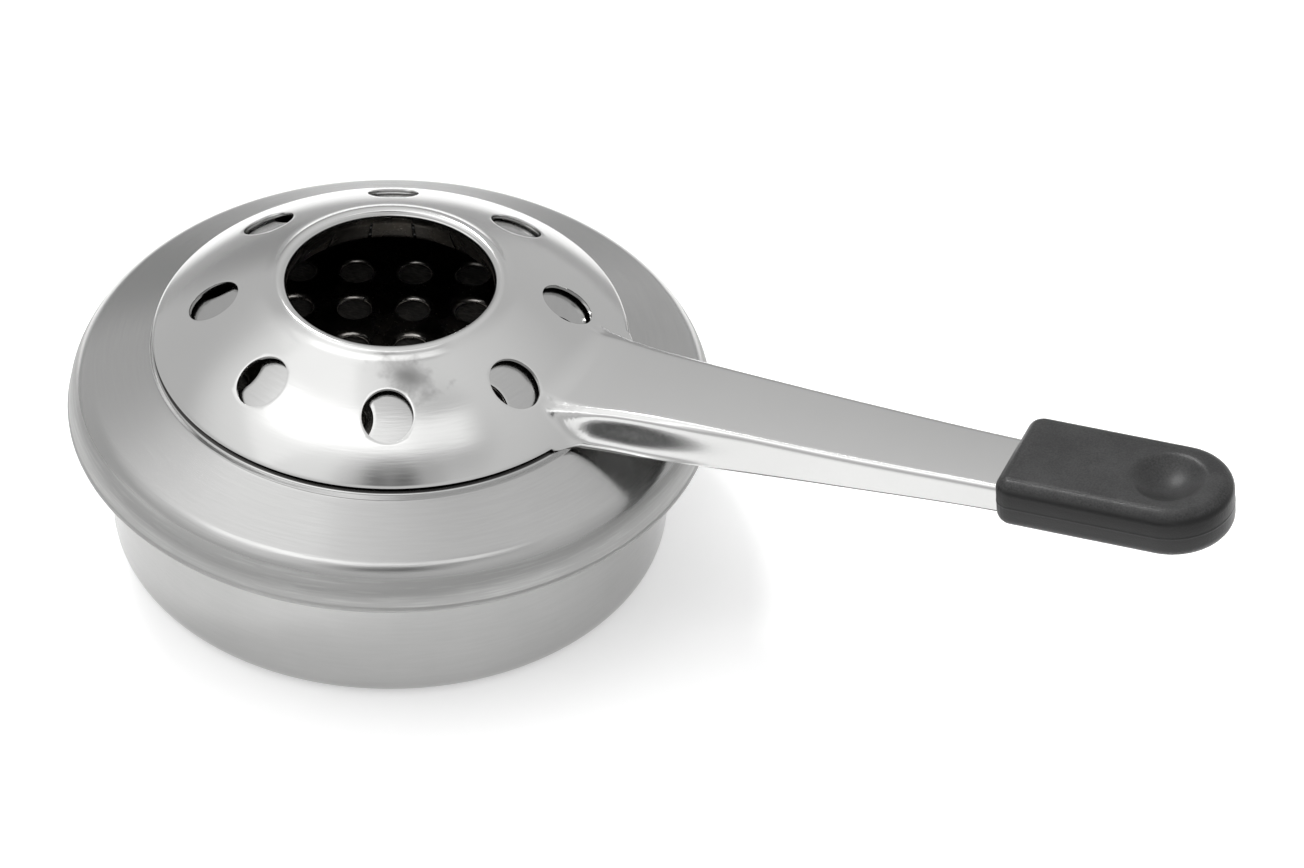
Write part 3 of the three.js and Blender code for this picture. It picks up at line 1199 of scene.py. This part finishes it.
@dataclass
class AirRegulator:
    """The disc that turns on the cone, with its rolled rim, tabbed neck, vents and pressed handle."""

    dome: DomeLine
    form: HandleForm
    hollow_end: float = 52.0
    neck_length: float = 0.9 * MM
    neck_reach: float = 19 * MM
    rim_reach: float = 21 * MM
    vents_under: float = 3 * MM
    tab_drop: float = 4.5 * MM
    tab_flare: float = 1.9 * MM
    tabs: int = 16
    columns: int = 480
    pressed_from: float = 20 * MM
    pressed_half: float = 24 * MM
    pressed_over: float = 37 * MM
    tongue_columns: int = 33
    fine_row: float = 0.5 * MM
    coarse_row: float = 1.9 * MM
    coarse_from: float = 42 * MM
    coarse_over: float = 20 * MM
    straight_over: float = 8 * MM
    foot_over: float = 2.5 * MM
    bend_share: float = 0.5
    handle_end: float = 128.0 * MM
    cut_edge: float = 0.1 * MM

    def line(self) -> Outline:
        """Gives the sheet's upper face.

        Returns:
            The line from the disc's edge over the dome and the rim to the foot of the tabs.
        """
        centre, size = self.dome.rim_centre(), self.dome.rim_round
        line = self.dome.outline()
        way = polar(math.radians(self.hollow_end))
        end, falling = centre + size * way, Vector((way.y, -way.x))
        rising = line.points[-1] - line.points[-2]
        corner = line.points[-1] + rising * ((end - line.points[-1]).cross(falling) / rising.cross(falling))
        line.curve(corner, end, 8)
        line.points.pop()
        line.arc(centre, size, self.hollow_end, 180, 14)
        foot = centre.y - self.neck_length
        line.to(self.dome.opening, foot, 2).to(self.dome.opening + self.tab_flare, foot - self.tab_drop, 6)
        return line

    def shell(self) -> Mesh:
        """Turns the disc, presses the handle's root, opens the vents and draws the handle out of the edge.

        Returns:
            The sheet.
        """
        bm = spun(self.line(), self.columns)
        inner = self.dome.last_row - 0.1 * MM
        for vert in (v for v in bm.verts if v.co.xy.length > inner and v.co.z > self.pressed_over):
            if vert.co.x > self.pressed_from and abs(vert.co.y) < self.pressed_half:
                vert.co.z = self.form.height(vert.co.x, vert.co.y)
        Vents().cut(bm, self.form.height, self.dome.disc_height - self.vents_under)
        self.draw_out_handle(bm)
        self.slit_tabs(bm)
        face_up(bm, lambda face: face.normal.z if face.calc_center_median().xy.length > self.rim_reach else 0)
        return bm

    def draw_out_handle(self, bm: Mesh) -> None:
        """Extrudes the disc's edge along the handle, row by row.

        Args:
            bm: the shell.
        """
        widest = (self.tongue_columns + 0.01) * (FULL_TURN / self.columns)
        reach = self.dome.disc_radius
        edge = [v for v in bm.verts if v.co.xy.length > reach - 0.01 * MM]
        angles = {v: math.atan2(v.co.y, v.co.x) for v in edge}
        root = {v: angle for v, angle in angles.items() if abs(angle) <= widest}
        columns = sorted(root.values())
        edges = [e for e in bm.edges if all(v in root for v in e.verts)]
        while reach < self.handle_end:
            coarse = smooth_step((reach - self.coarse_from) / self.coarse_over)
            reach += mix(self.fine_row, self.coarse_row, coarse)
            verts, edges = drawn_out(bm, edges)
            for vert, angle in zip(sorted(verts, key=lambda v: v.co.y), columns):
                vert.co = self.tongue_point(reach, angle, widest)

    def tongue_point(self, reach: float, angle: float, widest: float) -> Vector:
        """Gives where a point of a handle row lies.

        Args:
            reach: the row's distance from the axis on the centre line.
            angle: the angle at which the point's column left the disc.
            widest: the angle of the outermost columns.

        Returns:
            The point.
        """
        radius = self.dome.disc_radius
        straight = smooth_step((reach - radius) / self.straight_over)
        x = reach - radius * (1 - math.cos(angle)) * (1 - straight)
        share = min(abs(angle) / widest, 1.0)
        top_half, foot_half = self.form.value("top_half", x), self.form.value("foot_half", x)
        if share < self.bend_share:
            y = top_half * share / self.bend_share
        else:
            y = mix(top_half, foot_half, (share - self.bend_share) / (1 - self.bend_share))
        y = mix(radius * math.sin(abs(angle)), y, smooth_step((reach - radius) / self.foot_over))
        y = math.copysign(y, angle)
        return Vector((x, y, self.form.height(x, y)))

    def in_neck(self, place: Vector, top: float) -> bool:
        """Tells whether a place lies on the neck or a tab, under a height."""
        return place.xy.length < self.neck_reach and place.z < top

    def slit_tabs(self, bm: Mesh) -> None:
        """Takes out the narrow slits between the tabs under the neck.

        Args:
            bm: the shell.
        """
        foot = self.dome.rim_centre().y - self.neck_length
        pitch = FULL_TURN / self.tabs
        middles = {face: face.calc_center_median() for face in bm.faces}
        tabs = {face: place for face, place in middles.items() if self.in_neck(place, foot)}
        turns = {face: math.atan2(place.y, place.x) % pitch - pitch / 2 for face, place in tabs.items()}
        gone = [face for face, turn in turns.items() if abs(turn) < FULL_TURN / self.columns]
        bmesh.ops.delete(bm, geom=gone, context="FACES")

    def build(self, steel: Material, sooted: Material) -> Object:
        """Builds the regulator and dresses it.

        Args:
            steel: the disc's and the handle's finish.
            sooted: the neck's finish.

        Returns:
            The regulator.
        """
        bm = self.shell()
        for face in bm.faces:
            face.material_index = int(self.in_neck(face.calc_center_median(), self.dome.rim_centre().y))
        shell = made_piece("regulator_shell", bm, "regulator", "regulator_steel", steel, sooted)
        add_thickness(shell, self.dome.sheet, self.cut_edge)
        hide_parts("air_regulator")
        return shell


@dataclass
class HandleGrip:
    """The plastic grip on the handle's end, with a dimple for the thumb and a fine parting line."""

    start: float = 106.1 * MM
    top: float = 50.2 * MM
    slope: float = math.radians(5.1)
    length: float = 36.4 * MM
    width: float = 19.4 * MM
    thick: float = 8.7 * MM
    edge: float = 2.2 * MM
    corner: float = 2.6 * MM
    far_share: float = 0.999
    grid: float = 0.4
    grid_along: Range = (1.0, 35.8)
    grid_across: Range = (-9.2, 9.3)
    dimple_place: float = 26.0 * MM
    dimple_radius: float = 5.9 * MM
    dimple_depth: float = 2.3 * MM
    dimple_blend: float = 0.45 * MM
    dimple_spread: float = 1.3
    dimple_under: float = 0.3 * MM
    far_steps: int = 20
    edge_steps: int = 6
    parting: float = 4.5 * MM
    parting_rows: tuple[float, ...] = (-0.36, -0.12, 0.0, 0.12, 0.36)
    bead: float = 0.05 * MM

    def block(self) -> Mesh:
        """Shapes the grip in its own frame: X along it from its start, top face at height zero.

        Returns:
            The block.
        """
        bm = bmesh.new()
        bmesh.ops.create_cube(bm, size=1)
        bmesh.ops.scale(bm, vec=(self.length, self.width, self.thick), verts=bm.verts[:])
        bmesh.ops.translate(bm, vec=(self.length / 2, 0, -self.thick / 2), verts=bm.verts[:])
        upright = [e for e in bm.edges if abs(e.verts[0].co.z - e.verts[1].co.z) > self.thick / 2]
        far = [e for e in upright if e.verts[0].co.x > self.length / 2]
        near = [e for e in upright if e not in far]
        self.rounded(bm, far, self.width / 2 * self.far_share, self.far_steps)
        self.rounded(bm, near, self.corner, self.edge_steps)
        level = [e for e in bm.edges if abs(e.verts[0].co.z - e.verts[1].co.z) < SAME]
        around = [e for e in level if len({round(f.normal.z) for f in e.link_faces}) > 1]
        self.rounded(bm, around, self.edge, self.edge_steps)
        self.gridded(bm)
        return bm

    def rounded(self, bm: Mesh, edges: list[Edge], reach: float, steps: int) -> None:
        """Rounds some edges.

        Args:
            bm: the block.
            edges: its edges that are rounded.
            reach: how far from the edge the rounding begins.
            steps: how many faces it has.
        """
        bmesh.ops.bevel(
            bm, geom=edges, offset=reach, offset_type="OFFSET", segments=steps, profile=0.5,
            affect="EDGES", clamp_overlap=False, material=-1,
        )

    def gridded(self, bm: Mesh) -> None:
        """Cuts the block into a fine grid, so that its faces can be shaped.

        Args:
            bm: the block.
        """
        for axis, (place, end) in enumerate((self.grid_along, self.grid_across)):
            while place < end:
                point, normal = Vector((0, 0, 0)), Vector((0, 0, 0))
                point[axis], normal[axis] = place * MM, 1
                cut_across(bm, point, normal)
                place += self.grid

    def press_dimple(self, bm: Mesh) -> None:
        """Presses the thumb dimple into the top face, with a soft edge.

        Args:
            bm: the block.
        """
        for vert in (v for v in bm.verts if v.co.z >= -self.dimple_under):
            away = math.hypot(vert.co.x - self.dimple_place, vert.co.y) / self.dimple_radius
            bowl = -self.dimple_depth * (1 - away * away)
            if away < self.dimple_spread:
                vert.co.z += soft_pick(bowl, 0.0, self.dimple_blend, Fit.LOWER)

    def cut_parting(self, bm: Mesh) -> None:
        """Adds the fine bead where the two halves of the mould met.

        Args:
            bm: the block.
        """
        for drop in self.parting_rows:
            cut_across(bm, Vector((0, 0, -self.parting + drop * MM)), Vector((0, 0, 1)))
        bm.normal_update()
        for vert in [v for v in bm.verts if abs(v.co.z + self.parting) < SAME]:
            vert.co += Vector((vert.normal.x, vert.normal.y, 0)) * self.bead

    def build(self, plastic: Material) -> Object:
        """Builds the grip in its place on the handle and dresses it.

        Args:
            plastic: the grip's finish.

        Returns:
            The grip.
        """
        bm = self.block()
        self.press_dimple(bm)
        self.cut_parting(bm)
        bmesh.ops.remove_doubles(bm, verts=bm.verts[:], dist=SAME)
        bmesh.ops.recalc_face_normals(bm, faces=bm.faces[:])
        place = Matrix.Translation((self.start, 0, self.top)) @ Matrix.Rotation(-self.slope, 4, "Y")
        bmesh.ops.transform(bm, matrix=place, verts=bm.verts[:])
        grip = made_piece("grip_sleeve", bm, "regulator", "grip_plastic", plastic)
        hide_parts("handle_grip")
        return grip


@dataclass
class BurnerPlate:
    """The perforated plate in the bowl's mouth, with a turned lip round each hole and a raised rim."""

    height: float = 23.4 * MM
    wall: float = 0.3 * MM
    radius: float = 44.4 * MM
    rim: float = 2.0 * MM
    rim_curve: float = 0.9 * MM
    rim_clear: float = 1.6 * MM
    rim_shares: tuple[float, ...] = (0.35, 0.7, 1.0, 1.0)
    pitch: float = 9.6 * MM
    hole: float = 2.7 * MM
    lip: float = 0.8 * MM
    lip_drop: float = 0.75 * MM
    lip_angles: tuple[float, ...] = (18, 36, 54, 72, 90)
    shift: Vector = point_field(-6.9, 6.0)
    turn: float = math.radians(21.2)
    outermost: int = 6
    opened: float = 0.5
    seam: float = 0.02 * MM
    edge_play: float = 0.05 * MM
    rows: int = 11
    cells: int = 12

    def centres(self) -> list[Vector]:
        """Gives the middle of each hole.

        Returns:
            The places in the grid's own frame.
        """
        limit = self.radius - self.rim_curve - self.rim_clear - self.hole
        numbers = range(-self.outermost, self.outermost + 1)
        found = [
            Vector((self.shift.x + i * self.pitch, self.shift.y + j * self.pitch))
            for i in numbers
            for j in numbers
        ]
        return [c for c in found if c.length < limit]

    def build(self, sooted: Material) -> Object:
        """Builds the plate and dresses it.

        Args:
            sooted: the plate's finish.

        Returns:
            The plate.
        """
        centres = self.centres()
        bm = bmesh.new()
        across = self.rows * self.cells
        bmesh.ops.create_grid(bm, x_segments=across, y_segments=across, size=self.rows / 2 * self.pitch)
        bmesh.ops.translate(bm, vec=(self.shift.x, self.shift.y, self.height), verts=bm.verts[:])
        self.open_holes(bm, centres)
        self.turn_lips(bm, centres)
        self.round_off(bm)
        self.raise_rim(bm)
        bmesh.ops.rotate(bm, cent=(0, 0, 0), matrix=about_axis(self.turn), verts=bm.verts[:])
        face_up(bm, lambda face: face.normal.z)
        plate = made_piece("burner_plate", bm, "burner", "sooted_steel", sooted)
        wall = plate.modifiers.new("sheet thickness", "SOLIDIFY")
        wall.thickness = self.wall
        wall.offset = -1
        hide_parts("perforated_plate")
        return plate

    def edge(self) -> float:
        """Gives the radius at which the plate turns up into its rim."""
        return self.radius - self.rim_curve

    def ring(self) -> float:
        """Gives the radius at which the plate turns down into a hole's lip."""
        return self.hole + self.lip

    def nearest(self, centres: list[Vector], place: Vector) -> Vector:
        """Picks the hole that is nearest to a place."""
        return min(centres, key=lambda centre: (centre - place).length)

    def open_holes(self, bm: Mesh, centres: list[Vector]) -> None:
        """Opens a square in each cell and draws it into a circle.

        Args:
            bm: the flat grid.
            centres: the middles of the holes.
        """
        half = self.pitch / 2
        gone = []
        for face in bm.faces:
            middle = face.calc_center_median().xy
            near = self.nearest(centres, middle)
            if max(abs(middle.x - near.x), abs(middle.y - near.y)) < half * self.opened:
                gone.append(face)
        bmesh.ops.delete(bm, geom=gone, context="FACES")
        for vert in bm.verts:
            near = self.nearest(centres, vert.co.xy)
            local = (vert.co.xy - near) / half
            size = max(abs(local.x), abs(local.y))
            if size > 1 + SAME or size < self.opened - 0.01:
                continue
            way = local / size
            out = max(size - self.opened, 0) / (1 - self.opened)
            place = (way.normalized() * self.ring()).lerp(way * half, out)
            vert.co.x, vert.co.y = near.x + place.x, near.y + place.y

    def turn_lips(self, bm: Mesh, centres: list[Vector]) -> None:
        """Rolls the edge of each hole down into a short collar.

        Args:
            bm: the plate with its holes.
            centres: the middles of the holes.
        """
        ring = self.ring()
        border = [v for v in bm.verts if v.is_boundary]
        inner = {v for v in border if (self.nearest(centres, v.co.xy) - v.co.xy).length < ring * 1.02}
        edges = [e for e in bm.edges if e.is_boundary and all(v in inner for v in e.verts)]
        for angle in (math.radians(degrees) for degrees in self.lip_angles):
            verts, edges = drawn_out(bm, edges)
            for vert in verts:
                near = self.nearest(centres, vert.co.xy)
                way = (vert.co.xy - near).normalized()
                radius = ring - self.lip * math.sin(angle)
                drop = self.lip_drop * (1 - math.cos(angle))
                vert.co = Vector((near.x + way.x * radius, near.y + way.y * radius, self.height - drop))

    def round_off(self, bm: Mesh) -> None:
        """Takes off what lies outside the plate and draws the cut edge onto a circle.

        Args:
            bm: the plate.
        """
        edge = self.edge()
        outside = [f for f in bm.faces if all(v.co.xy.length > edge for v in f.verts)]
        bmesh.ops.delete(bm, geom=outside, context="FACES")
        for vert in (v for v in bm.verts if v.co.xy.length > edge):
            way = vert.co.xy.normalized() * edge
            vert.co.x, vert.co.y = way.x, way.y
        bmesh.ops.remove_doubles(bm, verts=bm.verts[:], dist=self.seam)

    def raise_rim(self, bm: Mesh) -> None:
        """Turns the plate's edge up into its rim.

        Args:
            bm: the round plate.
        """
        edge = self.edge()
        inner = edge - self.edge_play
        loop = [e for e in bm.edges if e.is_boundary and all(v.co.xy.length > inner for v in e.verts)]
        for angle in (share * math.pi / 2 for share in self.rim_shares):
            verts, loop = drawn_out(bm, loop)
            out, up = self.rim_curve * math.sin(angle), self.rim_curve * (1 - math.cos(angle))
            for vert in verts:
                way = vert.co.xy.normalized() * (edge + out)
                vert.co = Vector((way.x, way.y, self.height + up))
        for vert in verts:
            vert.co.z = self.height + self.rim


@dataclass
class MineralWool:
    """The wadding that fills the bowl and holds the fuel."""

    radius: float = 44.3 * MM
    floor: float = 0.9 * MM
    top: float = 22.3 * MM
    corner: float = 4.0 * MM
    rough: float = 0.3 * MM
    sunk: float = 0.25
    smooth_edge: float = 2 * MM
    tufts: float = 420
    columns: int = 96

    def build(self, wool: Material) -> Object:
        """Builds the wadding with an uneven top and dresses it.

        Args:
            wool: the wadding's finish.

        Returns:
            The wadding.
        """
        line = Outline().to(0, self.floor).to(self.radius - self.corner - MM, self.floor, 5)
        line.arc(Vector((self.radius - self.corner, self.floor + self.corner)), self.corner, -90, 0, 6)
        line.to(self.radius, self.top - MM, 6).to(self.radius - MM, self.top)
        line.to(0, self.top, 44)
        bm = spun(line, self.columns)
        bmesh.ops.recalc_face_normals(bm, faces=bm.faces[:])
        for vert in bm.verts:
            if vert.co.z > self.top - 0.1 * MM and vert.co.xy.length < self.radius - self.smooth_edge:
                vert.co.z += self.rough * (noise.noise(vert.co * self.tufts) - self.sunk)
        wadding = made_piece("mineral_wool", bm, "burner", "wadding", wool)
        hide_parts("absorbent_pad")
        return wadding


@dataclass(frozen=True)
class Glow:
    """A soft patch in the surroundings that is brighter or darker than the rest, with angles in degrees."""

    azimuth: float
    elevation: float
    inner: float
    outer: float
    amount: float


@dataclass(frozen=True)
class Band:
    """A soft arc in the surroundings, round a centre and within reach of a middle, with angles in degrees."""

    centre: Range
    radius: float
    half: float
    middle: Range
    fade_from: float
    reach: float
    amount: float


@dataclass(frozen=True)
class Softbox:
    """A square light that points at the object: its place in degrees and metres, its side and its power."""

    name: str
    azimuth: float
    elevation: float
    distance: float
    size: float
    power: float


@dataclass
class Studio:
    """The pale floor, the soft lights and the camera at the photograph's angle."""

    target: Vector = field(default_factory=lambda: Vector((36.62, 23.12, 11.83)) * MM)
    distance: float = 1401.4 * MM
    azimuth: float = math.radians(21.2)
    elevation: float = 39.943
    roll: float = math.radians(1.387)
    lens: float = 236.13
    sensor: float = 36
    clip: Range = (0.05, 20)
    mottle: float = 30
    floor_half: float = 3.0
    floor_pale: Colour = (0.93, 0.93, 0.93)
    floor_white: Colour = (0.95, 0.95, 0.95)
    floor_far: Colour = (0.45, 0.45, 0.45)
    floor_roughness: float = 0.9
    floor_shine: float = 0.1
    floor_glow: float = 0.3
    table: Range = (0.16, 0.31)
    card: Range = (0.15, 0.45)
    card_height: float = 0.5 * MM
    card_half: float = math.radians(55)
    card_turn: float = math.radians(-30)
    card_steps: int = 48
    card_black: Colour = (0.02, 0.02, 0.02)
    card_grey: Colour = (0.03, 0.03, 0.03)
    ground: float = 0.77
    sky: float = 1.08
    sky_rise: Range = (0.5, 0.95)
    horizon: float = 0.85
    horizon_rise: float = 0.13
    horizon_fade: Range = (0.12, 0.27)
    horizon_azimuth: float = -47
    horizon_front: Range = (0.5, 0.85)
    glows: tuple[Glow, ...] = (
        Glow(-85, 60, 18, 38, 0.32),
        Glow(2, 60, 3, 12, -0.6),
        Glow(-18, 59, 3, 11, -0.3),
        Glow(21, 59, 3, 11, -0.3),
        Glow(-146, 54, 3, 8, 28),
        Glow(-170, 2, 10, 28, -0.3),
        Glow(57, 68, 4, 17, -0.3),
    )
    band: Band = Band((180, 65), 39.5, 7, (-22, 70), 28, 40, 0.8)
    key: Softbox = Softbox("key_left", -88, 64, 1.6, 0.9, 0.6)

    def direction(self, azimuth: float, elevation: float) -> Vector:
        """Gives a direction, in degrees to the right of the camera's side and over the ground."""
        angle, rise = self.azimuth + math.radians(azimuth), math.radians(elevation)
        return Vector((math.sin(angle) * math.cos(rise), -math.cos(angle) * math.cos(rise), math.sin(rise)))

    def facing(self, way: Vector) -> Matrix:
        """Gives the turn of a camera or light that looks from a direction at the object."""
        return (-way).to_track_quat("-Z", "Y").to_matrix().to_4x4()

    def camera(self) -> None:
        """Places the camera."""
        data = bpy.data.cameras.new("camera")
        data.sensor_width = self.sensor
        data.lens = self.lens
        data.clip_start, data.clip_end = self.clip
        camera = bpy.data.objects.new("camera", data)
        bpy.context.scene.collection.objects.link(camera)
        back = self.direction(0, self.elevation)
        place = Matrix.Translation(self.target + back * self.distance)
        camera.matrix_world = place @ self.facing(back) @ Matrix.Rotation(self.roll, 4, "Z")
        bpy.context.scene.camera = camera

    def floor(self) -> None:
        """Lays the pale floor."""
        bm = bmesh.new()
        bmesh.ops.create_grid(bm, x_segments=2, y_segments=2, size=self.floor_half)
        floor = placed("floor", bm)
        n = FinishNodes("pale_floor")
        near = n.blend(n.noise(n.place, self.mottle, 2), self.floor_pale, self.floor_white)
        away = n.soft(n.span(n.radius(), *self.table))
        n.shade("Base Color", n.blend(away, near, self.floor_far))
        n.shade("Roughness", self.floor_roughness)
        n.shade("Specular IOR Level", self.floor_shine)
        n.shade("Emission Color", (1, 1, 1, 1))
        n.shade("Emission Strength", n.times(n.math("SUBTRACT", 1.0, away), self.floor_glow))
        floor.data.materials.append(n.material)

    def dark_card(self) -> None:
        """Lays a dark card on the floor in front, which only the polished steel shows."""
        bm = bmesh.new()
        ends = [bm.verts.new((0, -reach, self.card_height)) for reach in self.card]
        edge = bm.edges.new(ends)
        turn = about_axis(self.azimuth + self.card_turn - self.card_half)
        bmesh.ops.rotate(bm, cent=(0, 0, 0), matrix=turn, verts=ends)
        bmesh.ops.spin(
            bm, geom=[*ends, edge], cent=(0, 0, 0), axis=(0, 0, 1),
            angle=2 * self.card_half, steps=self.card_steps,
        )
        card = placed("dark_card", bm)
        n = FinishNodes("dark_card")
        n.shade("Base Color", n.blend(n.noise(n.place, self.mottle, 2), self.card_black, self.card_grey))
        n.shade("Roughness", 1)
        card.data.materials.append(n.material)
        card.visible_camera = card.visible_diffuse = card.visible_shadow = card.visible_transmission = False

    def hang(self, box: Softbox) -> None:
        """Hangs a softbox.

        Args:
            box: the softbox.
        """
        data = bpy.data.lights.new(box.name, "AREA")
        data.shape, data.size, data.energy = "SQUARE", box.size, box.power
        light = bpy.data.objects.new(box.name, data)
        bpy.context.scene.collection.objects.link(light)
        way = self.direction(box.azimuth, box.elevation)
        light.matrix_world = Matrix.Translation(way * box.distance) @ self.facing(way)

    def surroundings(self) -> None:
        """Sets the even light all round, with its brighter and darker patches."""
        world = bpy.data.worlds.new("studio")
        world.use_nodes = True
        n = SkyNodes(world.node_tree)
        _, _, rise = n.parts(n.way)
        light = n.span(rise, *self.sky_rise, self.ground, self.sky)
        off = n.math("ABSOLUTE", n.math("SUBTRACT", rise, self.horizon_rise))
        front = n.soft(n.span(n.toward(self.direction(self.horizon_azimuth, 0)), *self.horizon_front))
        light = n.plus(light, n.times(n.span(off, *self.horizon_fade, self.horizon, 0), front))
        for glow in self.glows:
            near = n.toward(self.direction(glow.azimuth, glow.elevation))
            patch = n.span(near, cos_of(glow.outer), cos_of(glow.inner), 0, glow.amount)
            light = n.plus(light, n.soft(patch))
        band = self.band
        angle = n.math("ARCCOSINE", n.toward(self.direction(*band.centre)))
        off = n.math("ABSOLUTE", n.math("SUBTRACT", angle, math.radians(band.radius)))
        arc = n.soft(n.span(off, math.radians(band.half) / 2, math.radians(band.half), band.amount, 0))
        middle = n.toward(self.direction(*band.middle))
        part = n.soft(n.span(middle, cos_of(band.reach), cos_of(band.fade_from)))
        background = world.node_tree.nodes["Background"]
        n.put((1, 1, 1, 1), background.inputs["Color"])
        n.put(n.plus(light, n.times(arc, part)), background.inputs["Strength"])
        bpy.context.scene.world = world
        bpy.context.scene.view_settings.view_transform = "Standard"

    def build(self) -> None:
        """Sets the whole stage."""
        self.camera()
        self.floor()
        self.dark_card()
        self.surroundings()
        self.hang(self.key)


def build_pieces() -> list[Object]:
    """Builds every piece of the burner with its finish.

    Returns:
        The pieces in building order.
    """
    satin = SteelFinish("satin_steel").material()
    # The polished regulator has no painted shadow ring, but it carries the painted dark reflection on its
    # dome.
    polished = SteelFinish(
        "polished_steel", colour=(0.54, 0.54, 0.535), worn_colour=(0.49, 0.49, 0.485), roughness=(0.11, 0.18),
        grain_depth=0.004 * MM, stretch=0.2, rub=0.04, shade_ring_over=OUT_OF_REACH, dark_reflection_reach=4.0 * MM,
    ).material()
    sooted = SootedFinish("sooted_steel").material()
    plastic = PlasticFinish("black_grip_plastic").material()
    wool = WoolFinish("stained_mineral_wool").material()
    dome = DomeLine()
    return [
        FuelBowl().build(satin, sooted),
        MineralWool().build(wool),
        BurnerPlate().build(sooted),
        Cover(dome).build(satin, sooted),
        AirRegulator(dome, HandleForm(dome)).build(polished, sooted),
        HandleGrip().build(plastic),
    ]


def report(pieces: Iterable[Object]) -> None:
    """Logs each piece's name and size."""
    for piece in pieces:
        log.info("%s: %d faces", piece.name, len(piece.data.polygons))


def main() -> None:
    """Loads the frame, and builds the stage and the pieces."""
    logging.basicConfig(level=logging.INFO, format="%(name)s: %(message)s")
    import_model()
    Studio().build()
    report(build_pieces())


if __name__ == "__main__":
    main()
